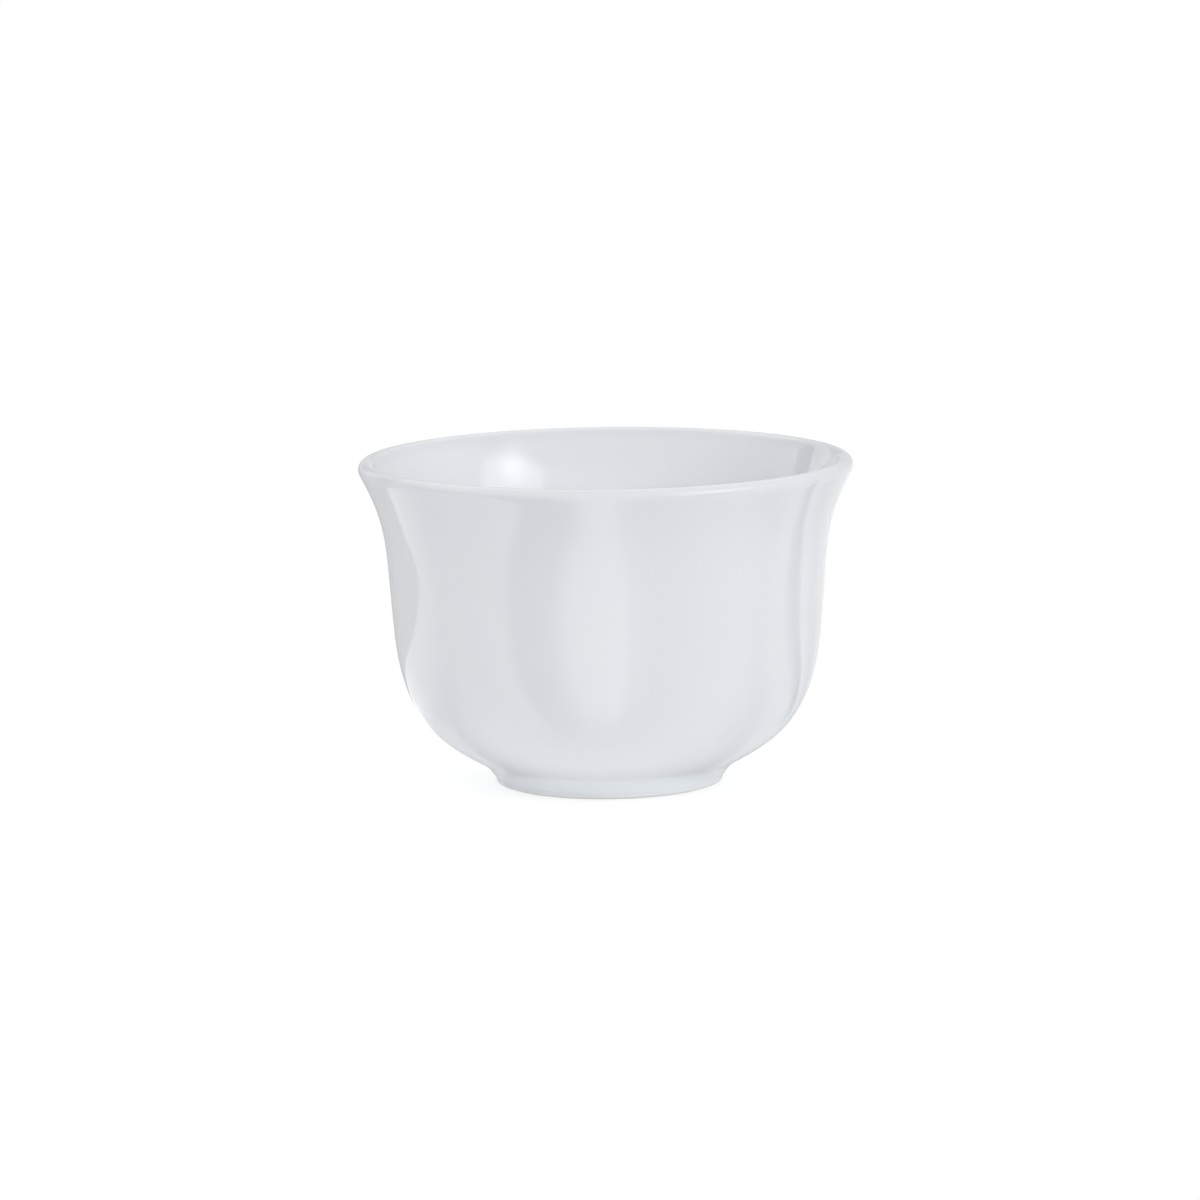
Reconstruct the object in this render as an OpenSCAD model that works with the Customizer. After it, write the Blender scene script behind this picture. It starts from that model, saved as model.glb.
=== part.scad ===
// Small fluted coffee cup without a handle: a porcelain bowl with a flared, full-round lip
// and six soft lobes, a foot ring luted under it, and the glaze that was fired onto both.
// Millimetres. +Z is up, the origin is the centre of the face that the cup stands on,
// and one flute faces -Y.

/* [Cup] */
// Diameter over the lip
rim_d = 70; // [62:1:84]
// Height from the table to the top of the lip
cup_h = 46.4; // [38:0.2:60]
// Thickness of the wall and of its full-round lip, glaze included
wall_t = 2.4; // [1.6:0.1:3.4]
// Thickness of the floor above the recess under the cup, glaze included
floor_t = 2.8; // [1.6:0.1:5]
// Thickness of the glaze
glaze_t = 0.25; // [0.15:0.05:0.4]

/* [Side] */
// Diameter part way up the side, over the lobes
side_d = 60.5; // [52:0.5:66]
// Height at which the side has that diameter
side_h = 21.8; // [16:0.2:28]
// Lean of the side there, from upright
side_angle = 5.3; // [0:0.1:12]
// Lean of the side just under the lip, from upright
flare_angle = 28; // [10:1:45]
// Rise of the underside where it leaves the foot, from level
under_angle = 30; // [15:1:50]

/* [Foot] */
// Height of the foot ring, which is also the depth of the recess in it
foot_h = 2.7; // [1.8:0.1:5]
// Diameter of the crease between the foot ring and the bowl
crease_d = 34.7; // [30:0.1:40]
// Diameter of the foot ring just above its rounded lower edge
foot_d = 32.2; // [28:0.1:36]
// Radius of that edge
foot_round = 0.9; // [0.5:0.1:1.3]
// Width of the bare face that the cup stands on
stand_w = 2.1; // [1:0.1:4]
// Lean of the foot ring's inner side, from upright
recess_angle = 8; // [0:1:20]
// Height at which the glaze stops, so that it doesn't stick to the kiln shelf
bare_h = 0.3; // [0.1:0.05:0.4]
// Radius of the glaze that pools in the corner of the recess
pool_r = 0.6; // [0.3:0.1:1]

/* [Flutes] */
// Number of flutes, and so of lobes
flute_count = 6; // [4:1:10]
// Depth of a flute where it is deepest
flute_depth = 0.45; // [0:0.05:1.4]
// Width of a flute where it is widest
flute_w = 20; // [8:0.5:26]
// Height at which the flutes run out above the foot
flute_low = 4; // [3:0.5:12]
// Distance from the top of the lip down to where the flutes run out
flute_drop = 5.5; // [2:0.5:10]
// Share of the depth that is felt inside the cup
flute_inside_share = 0.6; // [0:0.05:1]

/* [Hidden] */

// Gap that keeps the true round foot ring clear of the flat facets of the coat round it
ring_gap = 0.03;

// Reach of the four curve handles, as shares of the height or breadth of their curve
flare_top_share = 0.39;
flare_foot_share = 0.545;
belly_top_share = 0.715;
belly_foot_share = 0.515;

// Part of the belly that the inside follows before it turns into the floor
inside_start_share = 0.42;
// Reach of the floor's two handles, as shares of its radius
floor_edge_share = 0.28;
floor_middle_share = 0.55;

// Least width of a flute, at its two ends, as a share of its full width
flute_end_share = 0.4;
// How far the facets are drawn together in the flutes, from 0 to 1
bunch_share = 0.2;

// Facets round one lobe, and along each stretch of the profile
lobe_steps = 12;
edge_steps = 1;
belly_steps = 8;
flare_steps = 6;
floor_steps = 4;
pool_steps = 6;
round_steps = 120;

lip_r = wall_t / 2;
side_r = side_d / 2;
crease_r = crease_d / 2;
seat_r = crease_r - glaze_t;
edge_r = foot_d / 2 - foot_round;
stand_in_r = edge_r - stand_w;
recess_r = stand_in_r - foot_h * tan(recess_angle);
floor_z = foot_h + floor_t;

// Directions in the profile, as [outwards, up]
flare_up = [sin(flare_angle), cos(flare_angle)];
side_up = [sin(side_angle), cos(side_angle)];
under_up = [cos(under_angle), sin(under_angle)];
flare_out = [cos(flare_angle), -sin(flare_angle)];

lip_centre = [rim_d / 2 - lip_r, cup_h - lip_r];
lip_foot = lip_centre + lip_r * flare_out;
side_point = [side_r, side_h];
crease_point = [crease_r, foot_h];
flare_rise = lip_foot[1] - side_h;
belly_rise = side_h - foot_h;
belly_run = side_r - crease_r;

belly_curve = [
    crease_point,
    crease_point + belly_run * belly_foot_share * under_up,
    side_point - belly_rise * belly_top_share * side_up,
    side_point
];
flare_curve = [
    side_point,
    side_point + flare_rise * flare_foot_share * side_up,
    lip_foot - flare_rise * flare_top_share * flare_up,
    lip_foot
];

function bezier(p, t) =
    pow(1 - t, 3) * p[0]
    + 3 * pow(1 - t, 2) * t * p[1]
    + 3 * (1 - t) * t * t * p[2]
    + pow(t, 3) * p[3];

function bezier_heading(p, t) =
    pow(1 - t, 2) * (p[1] - p[0])
    + 2 * (1 - t) * t * (p[2] - p[1])
    + t * t * (p[3] - p[2]);

// The point that lies under a curve at a depth, square to it
function under(p, t, depth) =
    let (heading = bezier_heading(p, t), unit = heading / norm(heading))
    bezier(p, t) - depth * [unit[1], -unit[0]];

// A row is [radius, height, share of the flutes' depth]. Rows run from the foot's lower
// edge up the outside, over the lip, and down the inside to the middle of the floor.
function row(p, share) = [p[0], p[1], share];

// The foot's rounded lower edge, which the glaze leaves bare under bare_h
edge_angle = asin((foot_round - bare_h) / foot_round);
function edge_rows(depth) = [
    for (i = [0 : edge_steps])
    let (a = -edge_angle * (1 - i / edge_steps))
    row([edge_r, foot_round] + (foot_round - depth) * [cos(a), sin(a)], 0)
];

function crease_row(depth) = row([crease_r - depth, foot_h], 0);

function outer_rows(depth) = [
    for (i = [1 : belly_steps - 1]) row(under(belly_curve, i / belly_steps, depth), 1),
    for (i = [0 : flare_steps - 1]) row(under(flare_curve, i / flare_steps, depth), 1)
];

// The lip turns from the outer side over its widest and its highest point to the inner side
lip_angles = [-flare_angle, 0, 45, 90, 135 - flare_angle / 2, 180 - flare_angle];
function lip_rows(depth) = [
    for (a = lip_angles) row(lip_centre + (lip_r - depth) * [cos(a), sin(a)], 0)
];

inside_start = ceil(inside_start_share * belly_steps);
function inner_rows(depth) = [
    for (i = [flare_steps - 1 : -1 : 0])
    row(under(flare_curve, i / flare_steps, wall_t - depth), flute_inside_share),
    for (i = [belly_steps - 1 : -1 : inside_start])
    row(under(belly_curve, i / belly_steps, wall_t - depth), flute_inside_share)
];

function floor_curve(depth) =
    let (
        start = inside_start / belly_steps,
        edge = under(belly_curve, start, wall_t - depth),
        heading = bezier_heading(belly_curve, start)
    )
    [
        edge,
        edge - edge[0] * floor_edge_share * heading / norm(heading),
        [edge[0] * floor_middle_share, floor_z - depth],
        [0, floor_z - depth]
    ];
function floor_rows(depth) = [
    for (i = [1 : floor_steps - 1])
    row(bezier(floor_curve(depth), i / floor_steps), flute_inside_share)
];

function bowl_rows(depth) = concat(
    [crease_row(depth)],
    outer_rows(depth),
    lip_rows(depth),
    inner_rows(depth),
    floor_rows(depth)
);

// Angles round the cup, closer together in the flutes
lobe = 360 / flute_count;
angles = [
    for (i = [0 : flute_count - 1], j = [0 : lobe_steps - 1])
    let (t = j / lobe_steps)
    -90 + lobe * (i + t - bunch_share * sin(360 * t) / (2 * PI))
];
count = len(angles);

// Depth of the flutes at an angle and a height: a smooth hollow whose ends are drawn to a point
flute_top = cup_h - flute_drop;
flute_angle = 360 * flute_w / (PI * side_d);
function flute(a, z) =
    let (
        along = (z - flute_low) / (flute_top - flute_low),
        swell = along > 0 && along < 1 ? sin(180 * along) : 0,
        width = flute_angle * (flute_end_share + (1 - flute_end_share) * swell),
        nearest = lobe * round((a + 90) / lobe) - 90,
        across = min(1, abs(a - nearest) / (width / 2))
    )
    flute_depth * swell * pow(1 - across * across, 2);

function ring(r) = [
    for (a = angles)
    let (radius = r[0] - r[2] * flute(a, r[1]))
    [radius * cos(a), radius * sin(a), r[1]]
];
function rings(rows) = [for (r = rows) each ring(r)];

// Two triangles between points, with the same diagonal on either side of a face
function patch(a, b, c, d, turned) = turned ? [[a, c, b], [a, d, c]] : [[a, b, c], [a, c, d]];

// Faces between rows first and last of the rings whose points start at from
function band(from, first, last, turned) = [
    for (i = [first : last - 1], j = [0 : count - 1])
    let (
        next = (j + 1) % count,
        low = from + i * count,
        high = low + count
    )
    each patch(low + j, high + j, high + next, low + next, turned)
];

// Faces from the last ring to the point after it, in the middle of the floor
function middle(from, last, turned) = [
    for (j = [0 : count - 1])
    let (
        row_start = from + last * count,
        a = row_start + j,
        b = row_start + (j + 1) % count,
        c = row_start + count
    )
    turned ? [a, b, c] : [a, c, b]
];

// Its faces are the coat's fused face, from the crease up, and a flat base on the foot ring
module bowl() {
    rows = bowl_rows(glaze_t);
    last = len(rows) - 1;
    points = concat(rings(rows), [[0, 0, floor_z - glaze_t]]);
    base = [for (j = [0 : count - 1]) j];
    color("snow")
    polyhedron(points, concat(band(0, 0, last, false), middle(0, last, false), [base]), convexity = 6);
}

// A closed skin: the glossy face, the face that is fused to the porcelain, and the edge at the foot
module glaze_coat() {
    glossy = concat(edge_rows(0), bowl_rows(0));
    fused = concat(edge_rows(glaze_t), bowl_rows(glaze_t));
    last = len(glossy) - 1;
    from = len(glossy) * count + 1;
    points = concat(
        rings(glossy),
        [[0, 0, floor_z]],
        rings(fused),
        [[0, 0, floor_z - glaze_t]]
    );
    edge = [
        for (j = [0 : count - 1])
        let (next = (j + 1) % count)
        each patch(j, next, from + next, from + j, false)
    ];
    faces = concat(
        band(0, 0, last, false),
        middle(0, last, false),
        band(from, 0, last, true),
        middle(from, last, true),
        edge
    );
    color("aliceblue")
    polyhedron(points, faces, convexity = 8);
}

// A true ring, whose underside is the flat face that the cup stands on
module foot_ring() {
    edge = [for (r = edge_rows(glaze_t)) [r[0] - ring_gap, r[1]]];
    color("seashell")
    rotate_extrude($fn = round_steps)
    polygon(concat(
        [[stand_in_r, 0], [edge_r, 0]],
        edge,
        [[seat_r - ring_gap, foot_h], [recess_r, foot_h]]
    ));
}

// Over the ceiling of the recess and down the foot ring's inner side
module base_glaze() {
    end_r = recess_r + (foot_h - bare_h) * tan(recess_angle);
    pool_centre = [recess_r - pool_r, foot_h - glaze_t - pool_r];
    pool = [
        for (i = [0 : pool_steps])
        let (a = 90 * i / pool_steps)
        pool_centre + pool_r * [cos(a), sin(a)] - [glaze_t, 0]
    ];
    color("aliceblue")
    rotate_extrude($fn = round_steps)
    polygon(concat(
        [[0, foot_h], [recess_r, foot_h], [end_r, bare_h], [end_r - glaze_t, bare_h]],
        pool,
        [[0, foot_h - glaze_t]]
    ));
}

bowl();
foot_ring();
glaze_coat();
base_glaze();
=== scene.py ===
import math

import bpy
from mathutils import Matrix, Vector

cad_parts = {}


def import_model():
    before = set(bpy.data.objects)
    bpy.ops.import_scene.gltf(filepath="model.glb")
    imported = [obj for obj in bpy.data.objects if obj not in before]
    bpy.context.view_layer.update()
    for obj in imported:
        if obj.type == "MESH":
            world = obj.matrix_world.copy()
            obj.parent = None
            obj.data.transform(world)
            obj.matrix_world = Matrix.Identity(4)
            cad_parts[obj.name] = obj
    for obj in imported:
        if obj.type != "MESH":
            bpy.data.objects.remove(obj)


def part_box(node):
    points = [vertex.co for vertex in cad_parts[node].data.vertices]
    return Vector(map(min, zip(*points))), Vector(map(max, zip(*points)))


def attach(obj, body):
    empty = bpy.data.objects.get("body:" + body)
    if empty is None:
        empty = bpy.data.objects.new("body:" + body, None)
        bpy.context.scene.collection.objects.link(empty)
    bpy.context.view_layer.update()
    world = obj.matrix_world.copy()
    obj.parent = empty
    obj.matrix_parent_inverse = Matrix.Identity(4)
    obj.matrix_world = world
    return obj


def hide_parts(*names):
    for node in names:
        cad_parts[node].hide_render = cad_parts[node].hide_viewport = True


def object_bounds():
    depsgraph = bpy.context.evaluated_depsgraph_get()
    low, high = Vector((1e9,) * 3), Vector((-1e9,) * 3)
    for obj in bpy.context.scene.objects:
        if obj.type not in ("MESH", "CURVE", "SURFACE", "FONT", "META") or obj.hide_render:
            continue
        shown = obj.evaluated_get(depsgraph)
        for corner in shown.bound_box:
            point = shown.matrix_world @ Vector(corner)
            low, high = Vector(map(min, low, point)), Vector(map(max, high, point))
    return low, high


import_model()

cad_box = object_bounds()

# The cup's sizes in millimetres, as in the part's source. What the frame holds is measured from it.
MM = 0.001
RIM_R = cad_box[1].x / MM
CUP_H = cad_box[1].z / MM
FOOT_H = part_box("foot_ring")[1].z / MM
WALL_T = 2.4
FLOOR_T = 2.8
GLAZE_T = 0.25
SIDE_R = 30.25
SIDE_H = 21.8
SIDE_ANGLE = 5.3
FLARE_ANGLE = 28
UNDER_ANGLE = 30
CREASE_R = 17.35
FOOT_R = 16.1
FOOT_ROUND = 0.9
STAND_W = 2.1
RECESS_ANGLE = 8
BARE_H = 0.3
POOL_R = 0.6
RING_GAP = 0.03
# What only the smooth pieces have: the hollow of glaze in the crease, how far off it the belly's points
# start, and the ring's sponged inner edge
CREASE_FILLET = 1.3
FILLET_CLEAR = 0.1
STAND_ROUND = 0.25

FLUTE_COUNT = 6
FLUTE_DEPTH = 0.45
FLUTE_W = 20
FLUTE_LOW = 4
FLUTE_DROP = 5.5
FLUTE_INSIDE_SHARE = 0.6
FLUTE_END_SHARE = 0.4

FLARE_TOP_SHARE = 0.39
FLARE_FOOT_SHARE = 0.545
BELLY_TOP_SHARE = 0.715
BELLY_FOOT_SHARE = 0.515
INSIDE_START_SHARE = 0.5
FLOOR_EDGE_SHARE = 0.28
FLOOR_MIDDLE_SHARE = 0.55

# Facets of the smooth pieces
ROUND_STEPS = 336
BELLY_STEPS = 44
FLARE_STEPS = 40
LIP_STEPS = 16
FLOOR_STEPS = 24
EDGE_STEPS = 6
FILLET_STEPS = 6


def heading(angle):
    """The unit vector that leans outwards from upright by an angle in degrees."""
    return Vector((math.sin(math.radians(angle)), math.cos(math.radians(angle))))


def turned(angle):
    """The unit vector at an angle in degrees above outwards."""
    return Vector((math.cos(math.radians(angle)), math.sin(math.radians(angle))))


def bezier(p, t):
    u = 1 - t
    return u**3 * p[0] + 3 * u * u * t * p[1] + 3 * u * t * t * p[2] + t**3 * p[3]


def bezier_heading(p, t):
    u = 1 - t
    return u * u * (p[1] - p[0]) + 2 * u * t * (p[2] - p[1]) + t * t * (p[3] - p[2])


def under(p, t, depth):
    """The point that lies under a curve at a depth, square to it."""
    unit = bezier_heading(p, t).normalized()
    return bezier(p, t) - depth * Vector((unit.y, -unit.x))


LIP_R = WALL_T / 2
FLOOR_Z = FOOT_H + FLOOR_T
EDGE_R = FOOT_R - FOOT_ROUND
STAND_IN_R = EDGE_R - STAND_W
RECESS_R = STAND_IN_R - FOOT_H * math.tan(math.radians(RECESS_ANGLE))
BARE_ANGLE = math.degrees(math.asin((FOOT_ROUND - BARE_H) / FOOT_ROUND))
lip_centre = Vector((RIM_R - LIP_R, CUP_H - LIP_R))
lip_foot = lip_centre + LIP_R * turned(-FLARE_ANGLE)
side_point = Vector((SIDE_R, SIDE_H))
crease_point = Vector((CREASE_R, FOOT_H))
flare_rise = lip_foot.y - SIDE_H
belly_rise = SIDE_H - FOOT_H
belly_run = SIDE_R - CREASE_R
belly_curve = [
    crease_point,
    crease_point + belly_run * BELLY_FOOT_SHARE * turned(UNDER_ANGLE),
    side_point - belly_rise * BELLY_TOP_SHARE * heading(SIDE_ANGLE),
    side_point,
]
flare_curve = [
    side_point,
    side_point + flare_rise * FLARE_FOOT_SHARE * heading(SIDE_ANGLE),
    lip_foot - flare_rise * FLARE_TOP_SHARE * heading(FLARE_ANGLE),
    lip_foot,
]


def steps(count):
    """The shares 1/count to 1, so that stretches join without doubled points."""
    return [(i + 1) / count for i in range(count)]


def rounded(start, corner, end, count):
    """Points of a curve that leaves start towards the corner and comes in to end from it."""
    found = []
    for s in [0, *steps(count)]:
        u = 1 - s
        found.append(u * u * start + 2 * u * s * corner + s * s * end)
    return found


def foot_edge(radius, share):
    """A point on the foot's rounded lower edge: share 0 is where the glaze stops, 1 is the edge's top."""
    return Vector((EDGE_R, FOOT_ROUND)) + radius * turned(-BARE_ANGLE * (1 - share))


def profile():
    """The glazed face from the foot's edge to the middle of the floor, as (point, flute share)."""
    rows = []
    for s in [0, *steps(EDGE_STEPS)]:
        rows.append((foot_edge(FOOT_ROUND, s), 0))
    # The glaze that pools in the crease turns it into a small hollow
    down = (rows[-1][0] - crease_point).normalized()
    out = turned(UNDER_ANGLE)
    end = crease_point + CREASE_FILLET * out
    for p in rounded(crease_point + CREASE_FILLET * down, crease_point, end, FILLET_STEPS):
        rows.append((p, 0))
    for i in range(BELLY_STEPS):
        p = bezier(belly_curve, i / BELLY_STEPS)
        if p.x > end.x + FILLET_CLEAR:
            rows.append((p, 1))
    for s in [0, *steps(FLARE_STEPS)]:
        rows.append((bezier(flare_curve, s), 1))
    for s in steps(LIP_STEPS):
        rows.append((lip_centre + LIP_R * turned(-FLARE_ANGLE + 180 * s), 0))
    for s in steps(FLARE_STEPS):
        rows.append((under(flare_curve, 1 - s, WALL_T), FLUTE_INSIDE_SHARE))
    inner = int(BELLY_STEPS * (1 - INSIDE_START_SHARE))
    for i in range(inner):
        rows.append((under(belly_curve, 1 - (i + 1) / BELLY_STEPS, WALL_T), FLUTE_INSIDE_SHARE))
    edge = rows[-1][0].copy()
    unit = bezier_heading(belly_curve, 1 - inner / BELLY_STEPS).normalized()
    floor_curve = [
        edge,
        edge - edge.x * FLOOR_EDGE_SHARE * unit,
        Vector((edge.x * FLOOR_MIDDLE_SHARE, FLOOR_Z)),
        Vector((0, FLOOR_Z)),
    ]
    for s in steps(FLOOR_STEPS)[:-1]:
        rows.append((bezier(floor_curve, s), FLUTE_INSIDE_SHARE))
    return rows


def normals(points):
    """Directions out of the porcelain, square to a profile, at each of its points."""
    found = []
    for i, p in enumerate(points):
        before = points[max(i - 1, 0)]
        after = points[min(i + 1, len(points) - 1)]
        along = (after - before).normalized()
        found.append(Vector((along.y, -along.x)))
    return found


def swell(z):
    """How deep a flute is at a height, from 0 at its ends to 1."""
    along = (z - FLUTE_LOW) / (CUP_H - FLUTE_DROP - FLUTE_LOW)
    return math.sin(math.pi * along) if 0 < along < 1 else 0.0


LOBE = 360 / FLUTE_COUNT
FLUTE_ANGLE = math.degrees(FLUTE_W / SIDE_R)


def flute(angle, z):
    """Depth of the flutes at an angle and a height."""
    deep = swell(z)
    width = FLUTE_ANGLE * (FLUTE_END_SHARE + (1 - FLUTE_END_SHARE) * deep)
    off = (angle + 90) % LOBE
    across = min(1, min(off, LOBE - off) / (width / 2))
    return FLUTE_DEPTH * deep * (1 - across * across) ** 2


def ring(point, share):
    """The points of one row all round the cup, in metres."""
    made = []
    for j in range(ROUND_STEPS):
        angle = -90 + 360 * j / ROUND_STEPS
        radius = point.x - share * flute(angle, point.y) if share else point.x
        a = math.radians(angle)
        made.append(Vector((radius * math.cos(a), radius * math.sin(a), point.y)) * MM)
    return made


def placed(name, data):
    """A new object in the scene."""
    made = bpy.data.objects.new(name, data)
    bpy.context.scene.collection.objects.link(made)
    return made


class Shell:
    """Vertices and faces of a piece that is built from rings."""

    def __init__(self):
        self.points = []
        self.faces = []

    def ring(self, point, share=0):
        self.points += ring(point, share)
        return len(self.points) - ROUND_STEPS

    def centre(self, z):
        self.points.append(Vector((0, 0, z * MM)))
        return len(self.points) - 1

    def band(self, a, b):
        for j in range(ROUND_STEPS):
            k = (j + 1) % ROUND_STEPS
            self.faces.append((a + j, a + k, b + k, b + j))

    def top(self, a, z):
        """Closes a ring with faces that look up."""
        c = self.centre(z)
        for j in range(ROUND_STEPS):
            self.faces.append((a + j, a + (j + 1) % ROUND_STEPS, c))

    def base(self, a, z):
        """Closes a ring with faces that look down."""
        c = self.centre(z)
        for j in range(ROUND_STEPS):
            self.faces.append((a + (j + 1) % ROUND_STEPS, a + j, c))

    def strip(self, rows):
        for a, b in zip(rows, rows[1:]):
            self.band(a, b)

    def piece(self, name, material, node):
        mesh = bpy.data.meshes.new(name)
        mesh.from_pydata(self.points, [], self.faces)
        mesh.validate()
        mesh.shade_smooth()
        made = placed(name, mesh)
        mesh.materials.append(material)
        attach(made, "root")
        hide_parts(node)
        return made


# Materials

GLASS_IOR = 1.5
# Share of a spot's radius within which it is full
SPOT_CORE = 0.6


class Recipe:
    """Adds nodes one after another to the tree of a material or of the world."""

    def __init__(self, owner, place="Object"):
        owner.use_nodes = True
        self.tree = owner.node_tree
        # On a piece these are metres from the middle of the standing face, in the world a direction
        self.place = self.add("TexCoord").outputs[place]

    def add(self, kind, **values):
        """A node, with values or links for its inputs by name."""
        node = self.tree.nodes.new("ShaderNode" + kind)
        for name, value in values.items():
            self.give(node.inputs[name.replace("_", " ")], value)
        return node

    def give(self, socket, value):
        if isinstance(value, bpy.types.NodeSocket):
            self.tree.links.new(value, socket)
        else:
            socket.default_value = value

    def noise(self, size, detail=2.0):
        """A soft pattern whose patches are about this many millimetres wide."""
        node = self.add("TexNoise", Vector=self.place, Scale=1 / (size * MM), Detail=detail)
        return node.outputs["Fac"]

    def spots(self, spacing, radius, share):
        """1 in round spots. Spacing and radius are in millimetres, and this share of the cells holds one."""
        cells = self.add("TexVoronoi", Vector=self.place, Scale=1 / (spacing * MM))
        near = self.remap(cells.outputs["Distance"], radius / spacing, SPOT_CORE * radius / spacing)
        drawn = self.tree.nodes.new("ShaderNodeSeparateColor")
        self.give(drawn.inputs[0], cells.outputs["Color"])
        chosen = self.math("LESS_THAN", drawn.outputs[0], share)
        return self.math("MULTIPLY", near, chosen)

    def height(self, start, end):
        """Goes from 0 to 1 between two heights in millimetres."""
        parts = self.add("SeparateXYZ", Vector=self.place)
        return self.remap(parts.outputs["Z"], start * MM, end * MM)

    def remap(self, value, low, high, to_low=0.0, to_high=1.0):
        """A smooth step from one number to another while the value goes from low to high."""
        node = self.tree.nodes.new("ShaderNodeMapRange")
        node.interpolation_type = "SMOOTHSTEP"
        names = ("Value", "From Min", "From Max", "To Min", "To Max")
        for name, given in zip(names, (value, low, high, to_low, to_high)):
            self.give(node.inputs[name], given)
        return node.outputs["Result"]

    def math(self, operation, *values):
        node = self.tree.nodes.new("ShaderNodeMath")
        node.operation = operation
        for socket, value in zip(node.inputs, values):
            self.give(socket, value)
        return node.outputs[0]

    def span(self, x, y):
        """The length of a vector in the plane."""
        squares = self.math("ADD", self.math("MULTIPLY", x, x), self.math("MULTIPLY", y, y))
        return self.math("SQRT", squares)

    def blend_values(self, factor, a, b):
        """A number that is a where the factor is 0 and b where it is 1."""
        return self.math("MULTIPLY_ADD", factor, self.math("SUBTRACT", b, a), a)

    def blend(self, factor, a, b):
        """A colour that is a where the factor is 0 and b where it is 1."""
        node = self.tree.nodes.new("ShaderNodeMix")
        node.data_type = "RGBA"
        for name, given in zip(("Factor", "A", "B"), (factor, a, b)):
            socket = [x for x in node.inputs if x.name == name and x.enabled][0]
            as_it_is = isinstance(given, (float, bpy.types.NodeSocket))
            self.give(socket, given if as_it_is else (*given, 1))
        return [x for x in node.outputs if x.enabled][0]

    def bump(self, height, rise, normal=None):
        """Raises the surface by this many millimetres where the height is 1."""
        node = self.add("Bump", Height=height, Distance=rise * MM)
        if normal:
            self.give(node.inputs["Normal"], normal)
        return node.outputs["Normal"]

    def shader(self, kind, **values):
        return self.add(kind, **values).outputs[0]

    def switch(self, factor, off, on):
        """One shader where the factor is 0 and another where it is 1."""
        node = self.tree.nodes.new("ShaderNodeMixShader")
        for socket, given in zip(node.inputs, (factor, off, on)):
            self.give(socket, given)
        return node.outputs[0]

    def surface(self, colour, roughness, normal):
        shader = self.tree.nodes["Principled BSDF"]
        self.give(shader.inputs["Base Color"], colour)
        self.give(shader.inputs["Roughness"], roughness)
        self.give(shader.inputs["Normal"], normal)
        shader.inputs["IOR"].default_value = GLASS_IOR


# Colours, linear
GLAZE = (0.803, 0.815, 0.835)
GLAZE_PALE = (0.806, 0.818, 0.836)
# Pooled glaze by the crease, made darker than pooling alone as painted shade under the belly
GLAZE_POOL_AND_SHADE = (0.755, 0.780, 0.802)
# Painted shade on the lip: greyer so that its upward face is no brighter than the wall
LIP_PAINTED_SHADE = (0.772, 0.785, 0.806)
GLAZE_SPECK = (0.62, 0.60, 0.56)
BISQUE = (0.760, 0.738, 0.700)
BISQUE_DARK = (0.690, 0.662, 0.615)
BISQUE_GRIT = (0.36, 0.32, 0.27)

# Values between which a pattern goes from one tone to the other
CLOUD_EDGES = (0.35, 0.65)
GRAIN_EDGES = (0.3, 0.7)
# The glaze, in millimetres: width of its clouds, how far up from the crease it pools with painted shade,
# where the lip's painted shade starts and is full under the rim, specks as (spacing, radius, share of
# cells), patches of its gloss
CLOUD_W = 16
POOL_SHADE_H = 3.2
POOL_SHADE_SHARE = 0.55
LIP_SHADE_START = 2.0
LIP_SHADE_FULL = 0.6
SPECKS = (2.6, 0.09, 0.05)
SPECK_SHARE = 0.5
GLOSS_W = 7
GLOSS = (0.030, 0.045)
# Its relief: widths of the waves and of the orange peel, pinholes, and how high or deep each of them is
WAVE_W = 9
WAVE_RISE = 0.012
PEEL_W = 1.3
PEEL_RISE = 0.0010
PINHOLES = (3.1, 0.07, 0.06)
PINHOLE_DEPTH = 0.01
# The bare porcelain in the same way: its body, wear on the standing face, grit, roughness, grain and pits
BODY_W = 1.8
BODY_EDGES = (0.35, 0.7)
WEAR_H = 0.12
WEAR_W = 0.9
WEAR_EDGES = (0.4, 0.62)
WEAR = (0.15, 0.7)
GRIT = (0.9, 0.06, 0.12)
GRIT_SHARE = 0.8
MATT_W = 0.6
MATT = (0.72, 0.9)
GRAIN_W = 0.28
GRAIN_RISE = 0.018
PITS = (0.7, 0.09, 0.18)
PIT_DEPTH = 0.03


def glaze_material():
    """Clear, faintly blue glaze over white porcelain: deeper in colour where it pools by the crease, partly
    as painted shade, and greyer on the lip as painted shade.
    """
    made = bpy.data.materials.new("cool_white_glaze")
    r = Recipe(made)
    cloudy = r.remap(r.noise(CLOUD_W, 3.0), *CLOUD_EDGES)
    body = r.blend(cloudy, GLAZE, GLAZE_PALE)
    # Pooled glaze near the crease, partly painted shade where the belly shades the foot
    pooled = r.math("MULTIPLY", r.height(FOOT_H + POOL_SHADE_H, FOOT_H), POOL_SHADE_SHARE)
    body = r.blend(pooled, body, GLAZE_POOL_AND_SHADE)
    # Painted shade on the lip, which faces up and would otherwise be lit brighter than the wall
    body = r.blend(r.height(CUP_H - LIP_SHADE_START, CUP_H - LIP_SHADE_FULL), body, LIP_PAINTED_SHADE)
    body = r.blend(r.math("MULTIPLY", r.spots(*SPECKS), SPECK_SHARE), body, GLAZE_SPECK)
    roughness = r.remap(r.noise(GLOSS_W, 3.0), *GRAIN_EDGES, *GLOSS)
    wavy = r.bump(r.noise(WAVE_W, 1.0), WAVE_RISE)
    peel = r.bump(r.noise(PEEL_W), PEEL_RISE, wavy)
    pin = r.bump(r.spots(*PINHOLES), -PINHOLE_DEPTH, peel)
    r.surface(body, roughness, pin)
    return made


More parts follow.
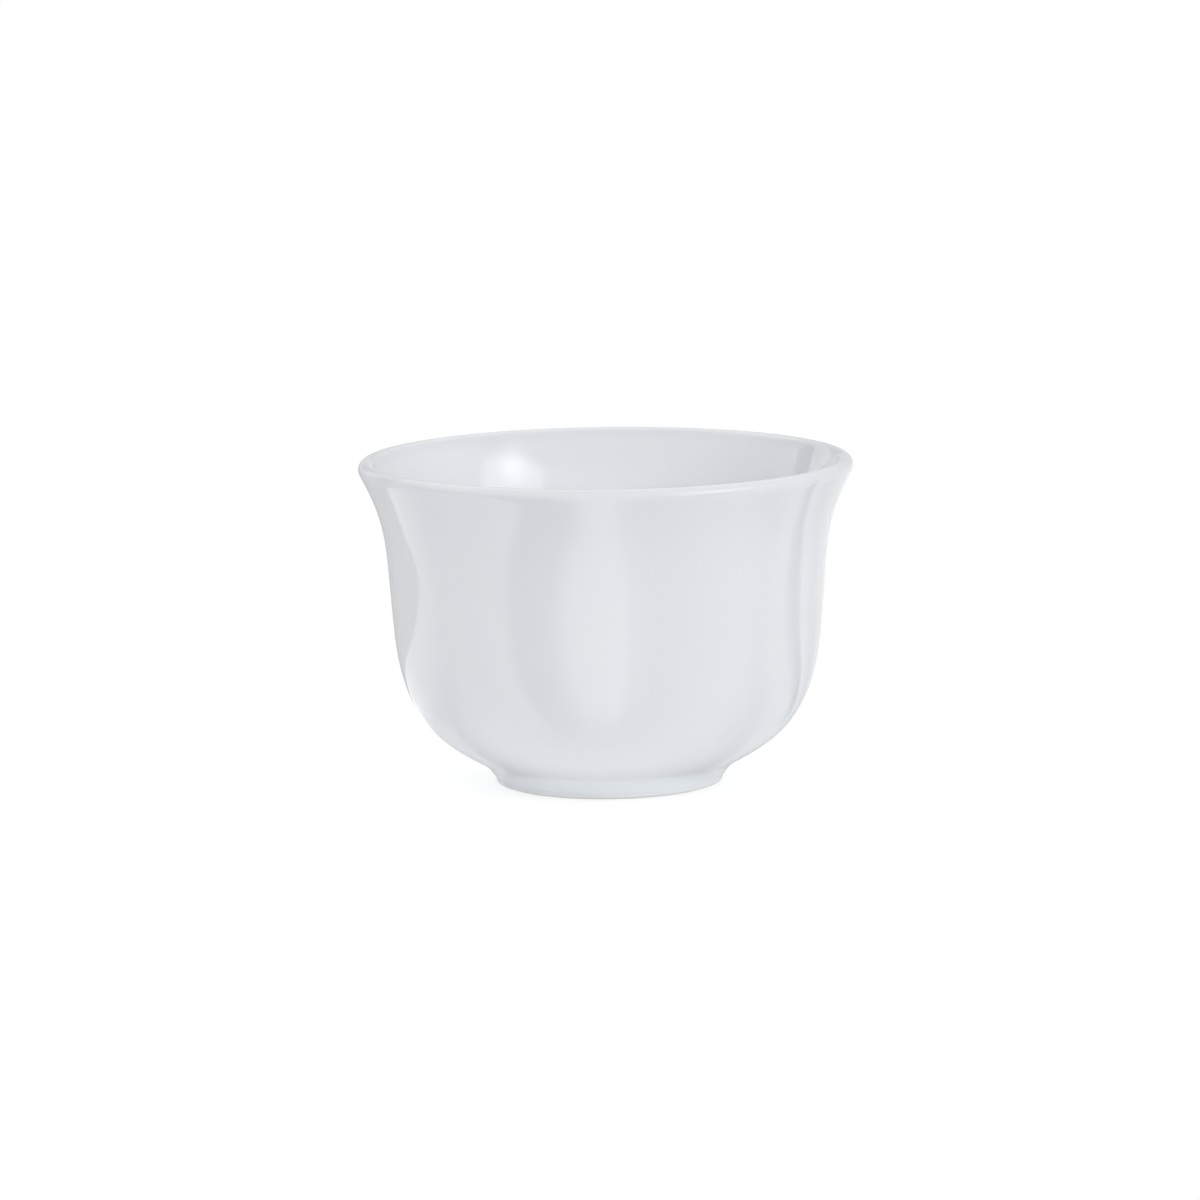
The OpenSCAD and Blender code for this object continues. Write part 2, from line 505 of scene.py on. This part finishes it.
def porcelain_material():
    """Fired porcelain with no glaze: matt, fine grained and a little darker where it has been stood on."""
    made = bpy.data.materials.new("bare_porcelain")
    r = Recipe(made)
    body = r.blend(r.remap(r.noise(BODY_W, 4.0), *BODY_EDGES), BISQUE, BISQUE_DARK)
    patchy = r.remap(r.noise(WEAR_W, 3.0), *WEAR_EDGES, *WEAR)
    worn = r.math("MULTIPLY", r.height(WEAR_H, 0.0), patchy)
    body = r.blend(worn, body, BISQUE_DARK)
    body = r.blend(r.math("MULTIPLY", r.spots(*GRIT), GRIT_SHARE), body, BISQUE_GRIT)
    roughness = r.remap(r.noise(MATT_W, 3.0), *GRAIN_EDGES, *MATT)
    grain = r.bump(r.noise(GRAIN_W, 3.0), GRAIN_RISE)
    pits = r.bump(r.spots(*PITS), -PIT_DEPTH, grain)
    r.surface(body, roughness, pits)
    return made


glaze = glaze_material()
porcelain = porcelain_material()

# Pieces

glossy = profile()
glossy_points = [p for p, _ in glossy]
fused = [(p - GLAZE_T * n, s) for (p, s), n in zip(glossy, normals(glossy_points))]


def glaze_skin():
    """The glaze on the outside, the lip and the inside: a closed skin, down to where it was wiped off."""
    shell = Shell()
    outer = [shell.ring(p, s) for p, s in glossy]
    shell.strip(outer)
    shell.top(outer[-1], FLOOR_Z)
    inner = [shell.ring(p, s) for p, s in reversed(fused)]
    shell.strip(inner)
    shell.band(inner[-1], outer[0])
    shell.base(inner[0], FLOOR_Z - GLAZE_T)
    return shell.piece("glaze_skin", glaze, "glaze_coat")


def porcelain_bowl():
    """The porcelain under the glaze, with a flat base that sits on the foot ring."""
    shell = Shell()
    seat = CREASE_R - GLAZE_T
    rows = [(Vector((seat, FOOT_H)), 0)]
    rows += [(p, s) for p, s in fused if p.y > FOOT_H and p.x >= 0]
    made = [shell.ring(p, s) for p, s in rows]
    shell.strip(made)
    shell.top(made[-1], FLOOR_Z - GLAZE_T)
    shell.base(made[0], FOOT_H)
    return shell.piece("porcelain_bowl", porcelain, "bowl")


def foot_ring():
    """The ring that the cup stands on, with a bare standing face and an inner edge softened by a sponge."""
    inner_top = Vector((RECESS_R, FOOT_H))
    inner_low = Vector((STAND_IN_R, 0))
    inner_up = (inner_top - inner_low).normalized()
    from_inside = inner_low + STAND_ROUND * inner_up
    to_stand = inner_low + STAND_ROUND * turned(0)
    rows = [inner_top, *rounded(from_inside, inner_low, to_stand, EDGE_STEPS)]
    # The bare edge runs up to where the glaze stops, and on behind the glaze
    radius = FOOT_ROUND - GLAZE_T - RING_GAP
    from_stand = Vector((EDGE_R - STAND_ROUND, 0))
    rows += rounded(from_stand, Vector((EDGE_R, 0)), foot_edge(radius, 0), EDGE_STEPS)
    rows += [foot_edge(radius, s) for s in steps(EDGE_STEPS)]
    rows.append(Vector((CREASE_R - GLAZE_T - RING_GAP, FOOT_H)))
    shell = Shell()
    made = [shell.ring(p) for p in rows]
    shell.strip(made)
    shell.band(made[-1], made[0])
    return shell.piece("foot_ring_body", porcelain, "foot_ring")


def recess_glaze():
    """The glaze under the cup: over the recess's ceiling, pooled in its corner and down the ring's side."""
    slope = math.tan(math.radians(RECESS_ANGLE))
    end_r = RECESS_R + (FOOT_H - BARE_H) * slope
    pool_centre = Vector((RECESS_R - POOL_R - GLAZE_T, FOOT_H - GLAZE_T - POOL_R))
    rows = [pool_centre + POOL_R * turned(90 * (1 - s)) for s in [0, *steps(FILLET_STEPS)]]
    rows += [Vector((end_r - GLAZE_T, BARE_H)), Vector((end_r, BARE_H)), Vector((RECESS_R, FOOT_H))]
    shell = Shell()
    made = [shell.ring(p) for p in rows]
    shell.strip(made)
    shell.base(made[0], FOOT_H - GLAZE_T)
    shell.top(made[-1], FOOT_H)
    return shell.piece("recess_glaze", glaze, "base_glaze")


glaze_skin()
porcelain_bowl()
foot_ring()
recess_glaze()

# Camera, at the photo's angle. The photo is 1200 by 1200 pixels.
SENSOR = 36
LENS = 222.2
DISTANCE = 1.05
AZIMUTH = 1.9
ELEVATION = 8.59
ROLL = 0.75
AIM = Vector((-0.00106, 0, 0.026))


def camera():
    data = bpy.data.cameras.new("camera")
    data.sensor_width = SENSOR
    data.lens = LENS
    made = placed("camera", data)
    a, e = math.radians(AZIMUTH), math.radians(ELEVATION)
    back = Vector((math.sin(a) * math.cos(e), -math.cos(a) * math.cos(e), math.sin(e)))
    made.rotation_mode = "QUATERNION"
    made.location = AIM + DISTANCE * back
    roll = Matrix.Rotation(math.radians(-ROLL), 3, "Z").to_quaternion()
    made.rotation_quaternion = (-back).to_track_quat("-Z", "Y") @ roll
    bpy.context.scene.camera = made


camera()


# Floor, backdrop and light

FLOOR_SIZE = 4.0
# Millimetres from the standing face down to the floor, so that the two never share a plane
FLOOR_GAP = 0.02
FLOOR = (0.85, 0.86, 0.87)
FLOOR_ROUGHNESS = 0.9
# What the glaze sees of the table: light and shade in two fans of straight-edged streaks, one in front
# and one behind. Each streak's edge starts and ends at an angle round the fan's tip and changes the tone.
# Angles are degrees from towards the viewer, positive to the right. Tips are millimetres right and nearer.
FRONT_TIP = (1, 23)
FRONT_EDGES = [
    (-125, -85, 0.98),
    (-78, -64, 0.22),
    (-59, -51, -1.20),
    (-28, -9, 1.60),
    (-6, 1, 0.25),
    (4, 11, -1.05),
    (12, 27, -0.62),
    (38, 78, 0.42),
    (82, 110, -0.60),
]
BACK_TIP = (-6, 6)
BACK_EDGES = [
    (85, 101, 0.70),
    (105, 112, -0.70),
    (114, 116, 0.78),
    (118, 124, -0.14),
    (130, 142, 0.20),
    (142, 165, 0.10),
    (180, 198, 0.30),
    (238, 278, -1.24),
]
# Lengths from here on are millimetres. Near the front tip the streaks run together into one tone.
TIP_TONE = 0.25
TIP_NEAR = 6
TIP_FAR = 28
# The foot's shade, as the share of the tone that it leaves, and the radii between which it fades
FOOT_SHADE = 0.85
FOOT_SHADE_NEAR = 17.5
FOOT_SHADE_FAR = 30
# The even tone close behind the cup, the radii between which it fades, and how far in front it starts
REAR_TONE = 0.66
REAR_NEAR = 28
REAR_FAR = 50
REAR_START = 12
# The shadow further behind, with a straight edge and a soft side: it takes this share of the back fan
BEHIND = 50
BEHIND_SOFT = 4
BEHIND_SIDE = 5
BEHIND_SHARE = 0.55
# Glow of the table under the cup, what it gains to the right, what is left of it further out, and the radii
# between which it falls
GLOW = 0.39
GLOW_TURN = -0.03
GLOW_REST = 0.06
GLOW_NEAR = 27
GLOW_FAR = 42
# What the camera sees of the floor: white, with the cup's shadow near it
CAMERA_FLOOR = 0.30
CAMERA_LIFT = 0.75
SHADOW_NEAR = 70
SHADOW_FAR = 120


def floor():
    half = FLOOR_SIZE / 2
    z = -FLOOR_GAP * MM
    mesh = bpy.data.meshes.new("floor")
    corners = [(-half, -half, z), (half, -half, z), (half, half, z), (-half, half, z)]
    mesh.from_pydata(corners, [], [(0, 1, 2, 3)])
    made = placed("floor", mesh)
    material = bpy.data.materials.new("pale_floor")
    r = Recipe(material)
    path = r.add("LightPath")
    parts = r.add("SeparateXYZ", Vector=r.place)
    right = parts.outputs["X"]
    nearer = r.math("MULTIPLY", parts.outputs["Y"], -1.0)
    radius = r.span(right, nearer)

    def length(value, start, end, to_low=0.0, to_high=1.0):
        """A smooth step between two lengths in millimetres."""
        return r.remap(value, start * MM, end * MM, to_low, to_high)

    def off(tip):
        """How far right of a tip, and how much nearer, a point is."""
        return r.math("SUBTRACT", right, tip[0] * MM), r.math("SUBTRACT", nearer, tip[1] * MM)

    def fan(tip, edges, turn):
        """Tone of the table round a tip. The angle starts again where the fan has no tone."""
        angle = r.math("ARCTAN2", *off(tip))
        angle = r.math("WRAP", angle, math.radians(turn + 360), math.radians(turn))
        tone = 0.0
        for start, end, change in edges:
            step = r.remap(angle, math.radians(start), math.radians(end), 0.0, change)
            tone = r.math("ADD", step, tone)
        return tone

    def table_tone():
        """What the glaze sees of the table."""
        edge = BEHIND_SOFT / 2
        behind = length(nearer, edge - BEHIND, -edge - BEHIND, 1.0, 1 - BEHIND_SHARE)
        behind = r.math("MAXIMUM", behind, length(right, -BEHIND_SIDE, BEHIND_SIDE))
        back = r.math("MULTIPLY", fan(BACK_TIP, BACK_EDGES, 0), behind)
        tone = r.math("MAXIMUM", r.math("ADD", fan(FRONT_TIP, FRONT_EDGES, -180), back), 0.0)
        from_tip = length(r.span(*off(FRONT_TIP)), TIP_NEAR, TIP_FAR)
        tone = r.blend_values(from_tip, TIP_TONE, tone)
        rear = r.math("MULTIPLY", length(radius, REAR_FAR, REAR_NEAR), length(nearer, REAR_START, 0.0))
        tone = r.blend_values(rear, tone, REAR_TONE)
        shade = length(radius, FOOT_SHADE_NEAR, FOOT_SHADE_FAR, FOOT_SHADE, 1.0)
        return r.math("MULTIPLY", tone, shade)

    table = r.shader("Emission", Strength=table_tone())

    glow = length(radius, GLOW_FAR, GLOW_NEAR, GLOW_REST, GLOW)
    gain = r.math("MULTIPLY_ADD", r.math("DIVIDE", right, radius), GLOW_TURN, 1.0)
    lit = r.tree.nodes["Principled BSDF"]
    r.give(lit.inputs["Base Color"], (*FLOOR, 1))
    r.give(lit.inputs["Roughness"], FLOOR_ROUGHNESS)
    r.give(lit.inputs["Emission Color"], (1, 1, 1, 1))
    r.give(lit.inputs["Emission Strength"], r.math("MULTIPLY", glow, gain))

    shadow = r.shader("BsdfDiffuse", Color=(CAMERA_FLOOR, CAMERA_FLOOR, CAMERA_FLOOR, 1))
    lift = r.shader("Emission", Strength=CAMERA_LIFT)
    near = r.tree.nodes.new("ShaderNodeAddShader")
    r.give(near.inputs[0], shadow)
    r.give(near.inputs[1], lift)
    white = r.shader("Emission", Strength=1.0)
    seen = r.switch(length(radius, SHADOW_NEAR, SHADOW_FAR), near.outputs[0], white)

    # From below the floor is clear, so the cup's underside can be looked at
    other = r.switch(path.outputs["Is Glossy Ray"], lit.outputs[0], table)
    top = r.switch(path.outputs["Is Camera Ray"], other, seen)
    below = r.add("NewGeometry").outputs["Backfacing"]
    output = r.tree.nodes["Material Output"].inputs["Surface"]
    r.give(output, r.switch(below, top, r.shader("BsdfTransparent")))
    mesh.materials.append(material)


# The white tent round the table, in bands between two elevations. Each has a strength, and what it gains
# to the right and towards the viewer.
TENT = [
    (-2, 8, 0.38, 0.0, -0.34),
    (8, 20, 0.56, 0.23, 0.0),
    (20, 34, 1.08, 0.10, 0.43),
    (34, 60, 1.06, -0.32, -0.06),
    (60, 100, 0.74, 0.0, 0.0),
]
TENT_SOFT = 6
TENT_COLOUR = (0.975, 0.985, 0.995)
# The softbox to the right: azimuth, elevation, half its width and height, how far its sides come down, and
# the softness of its edges, all in degrees
BOX = (57.5, 27.5, 19, 9.5)
BOX_ARCH = 5
BOX_SOFT = 6
BOX_STRENGTH = 2.05
# Its brighter core: azimuth and elevation, radius, and strength
BOX_CORE = (57, 31.5)
BOX_CORE_SIZE = 14
BOX_CORE_STRENGTH = 3.0
# A window behind on the left, in the same way, with a dark upright post in it: azimuth and half its width,
# softness, and the share of the light that it takes
PANE = (-130, 14, 24, 8)
PANE_STRENGTH = 0.50
POST = (-127.5, 6.5)
POST_SOFT = 1.5
POST_SHARE = 0.9


def world():
    made = bpy.data.worlds.new("studio")
    bpy.context.scene.world = made
    r = Recipe(made, "Generated")
    parts = r.add("SeparateXYZ", Vector=r.place)
    nearer = r.math("MULTIPLY", parts.outputs["Y"], -1.0)
    azimuth = r.math("MULTIPLY", r.math("ARCTAN2", parts.outputs["X"], nearer), math.degrees(1))
    elevation = r.math("MULTIPLY", r.math("ARCSINE", parts.outputs["Z"]), math.degrees(1))
    turn = r.math("MULTIPLY", azimuth, math.radians(1))
    to_right, to_viewer = r.math("SINE", turn), r.math("COSINE", turn)

    def window(value, low, high, soft):
        """1 between two values, with soft edges."""
        rise = r.remap(value, low - soft / 2, low + soft / 2)
        return r.math("MULTIPLY", rise, r.remap(value, high + soft / 2, high - soft / 2))

    def patch(place, soft, height):
        """1 in an upright patch of the tent, given by its middle and half its width and height."""
        middle, level, half_width, half_height = place
        across = window(azimuth, middle - half_width, middle + half_width, soft)
        return r.math("MULTIPLY", across, window(height, level - half_height, level + half_height, soft))

    strength = 0.0
    for low, high, mean, right_gain, near_gain in TENT:
        tone = r.math("MULTIPLY_ADD", to_right, right_gain, mean)
        tone = r.math("MULTIPLY_ADD", to_viewer, near_gain, tone)
        strength = r.math("MULTIPLY_ADD", window(elevation, low, high, TENT_SOFT), tone, strength)
    box_middle, _, box_half_width, _ = BOX
    aside = r.math("DIVIDE", r.math("SUBTRACT", azimuth, box_middle), box_half_width)
    arched = r.math("MULTIPLY_ADD", r.math("MULTIPLY", aside, aside), BOX_ARCH, elevation)
    strength = r.math("MULTIPLY_ADD", patch(BOX, BOX_SOFT, arched), BOX_STRENGTH, strength)
    pane = patch(PANE, TENT_SOFT, elevation)
    strength = r.math("MULTIPLY_ADD", pane, PANE_STRENGTH, strength)
    post = window(azimuth, POST[0] - POST[1], POST[0] + POST[1], POST_SOFT)
    post = r.math("MULTIPLY", r.math("MULTIPLY", post, pane), POST_SHARE)
    strength = r.math("MULTIPLY", strength, r.math("SUBTRACT", 1.0, post))
    aside = r.math("SUBTRACT", azimuth, BOX_CORE[0])
    above = r.math("SUBTRACT", elevation, BOX_CORE[1])
    core = r.remap(r.span(aside, above), BOX_CORE_SIZE, 0.0)
    strength = r.math("MULTIPLY_ADD", core, BOX_CORE_STRENGTH, strength)
    tent = r.tree.nodes["Background"]
    r.give(tent.inputs["Color"], (*TENT_COLOUR, 1))
    r.give(tent.inputs["Strength"], strength)
    white = r.shader("Background", Strength=1.0)
    path = r.add("LightPath")
    seen = r.math("MAXIMUM", path.outputs["Is Camera Ray"], path.outputs["Is Transmission Ray"])
    r.give(r.tree.nodes["World Output"].inputs["Surface"], r.switch(seen, tent.outputs[0], white))


floor()
world()

bpy.context.scene.view_settings.view_transform = "Standard"
